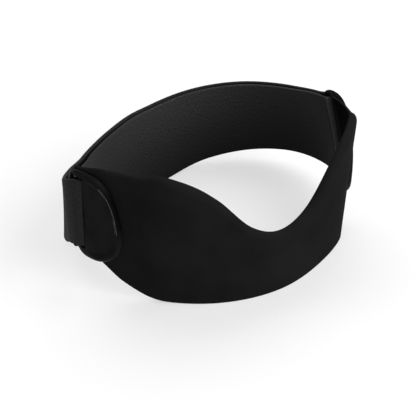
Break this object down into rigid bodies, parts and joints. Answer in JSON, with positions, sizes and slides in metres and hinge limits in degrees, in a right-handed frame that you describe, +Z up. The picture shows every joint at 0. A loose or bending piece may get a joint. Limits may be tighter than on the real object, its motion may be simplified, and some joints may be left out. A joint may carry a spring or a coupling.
{
  "type": "knee strap",
  "caption": "Closed under-knee support strap: contoured front band with a notched top edge, slotted plates at its ends and a wide hook-and-loop strap folded through them.",
  "frame": {"origin": "under the middle of the strap's box, on the surface that it stands on", "axes": "+Z up along the leg, the front band faces -Y, +X to the side of the right plate"},
  "size_m": [0.153, 0.1294, 0.0744],
  "materials": {
    "neoprene": "smooth fine-knit black neoprene, soft sheen",
    "plate_plastic": "black moulded plastic, satin panel with a glossy raised rim",
    "loop_fabric": "black brushed loop fabric, fine grain",
    "hook_tape": "black hook tape"
  },
  "bodies": {
    "root": {"front_band": "neoprene", "plate_right": "plate_plastic", "plate_left": "plate_plastic", "back_strap": "loop_fabric", "hook_patch_right": "hook_tape", "hook_patch_left": "hook_tape"}
  },
  "joints": []
}
